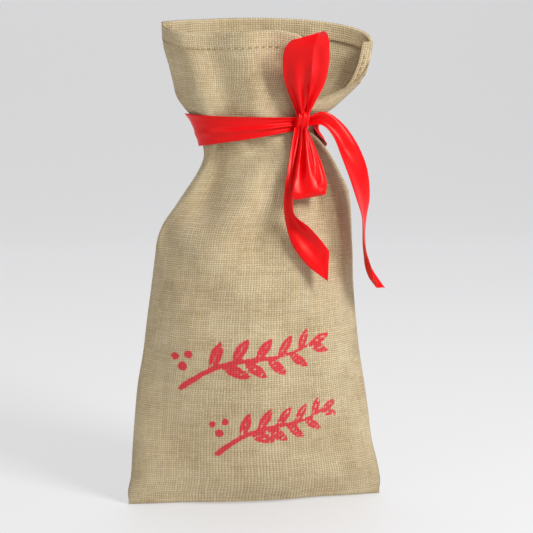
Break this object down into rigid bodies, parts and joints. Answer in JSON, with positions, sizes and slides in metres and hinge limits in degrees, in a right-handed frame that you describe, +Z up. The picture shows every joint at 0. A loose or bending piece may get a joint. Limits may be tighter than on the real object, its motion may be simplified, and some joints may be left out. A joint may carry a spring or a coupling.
{
  "type": "wine gift bag",
  "caption": "Upright hessian gift bag for a wine bottle, gathered at the neck and tied with a satin ribbon bow, with an open hemmed mouth.",
  "frame": {"origin": "middle of the base, on the surface the bag stands on", "axes": "+Z up, the bag's front faces -Y, +X to the right seen from the front"},
  "size_m": [0.19, 0.0995, 0.361],
  "materials": {
    "hessian": "matte",
    "satin_ribbon": "satin",
    "sewing_thread": "matte"
  },
  "bodies": {
    "bag": {"front_panel": "hessian", "back_panel": "hessian", "bottom_seam_allowance": "hessian", "left_seam_allowance": "hessian", "right_seam_allowance": "hessian", "left_seam_thread": "sewing_thread", "right_seam_thread": "sewing_thread", "neck_band": "satin_ribbon", "knot": "satin_ribbon"},
    "collar": {"collar_front": "hessian", "collar_back": "hessian", "front_hem": "hessian", "back_hem": "hessian", "front_hem_thread": "sewing_thread", "back_hem_thread": "sewing_thread", "collar_left_seam_allowance": "hessian", "collar_right_seam_allowance": "hessian", "collar_left_seam_thread": "sewing_thread", "collar_right_seam_thread": "sewing_thread"},
    "upper_loop": {"upper_loop": "satin_ribbon"},
    "lower_loop": {"lower_loop": "satin_ribbon"},
    "front_tail": {"front_tail": "satin_ribbon"},
    "side_tail": {"side_tail": "satin_ribbon"}
  },
  "joints": [
    {"name": "collar_tilt", "type": "hinge", "parent": "bag", "child": "collar", "pos_m": [0, 0.0245, 0.2915], "axis": [-1, 0, 0], "range_deg": [0, 15]},
    {"name": "upper_loop_swing", "type": "hinge", "parent": "bag", "child": "upper_loop", "pos_m": [0.0345, -0.0205, 0.284], "axis": [1, 0, 0], "range_deg": [0, 50], "stiffness_Nm_per_rad": 0.005},
    {"name": "lower_loop_swing", "type": "hinge", "parent": "bag", "child": "lower_loop", "pos_m": [0.0345, -0.0205, 0.284], "axis": [-1, 0, 0], "range_deg": [0, 40]},
    {"name": "front_tail_swing", "type": "hinge", "parent": "bag", "child": "front_tail", "pos_m": [0.0345, -0.0205, 0.284], "axis": [-1, 0, 0], "range_deg": [0, 40]},
    {"name": "side_tail_swing", "type": "hinge", "parent": "bag", "child": "side_tail", "pos_m": [0.0345, -0.0205, 0.284], "axis": [0, -1, 0], "range_deg": [0, 45]}
  ]
}
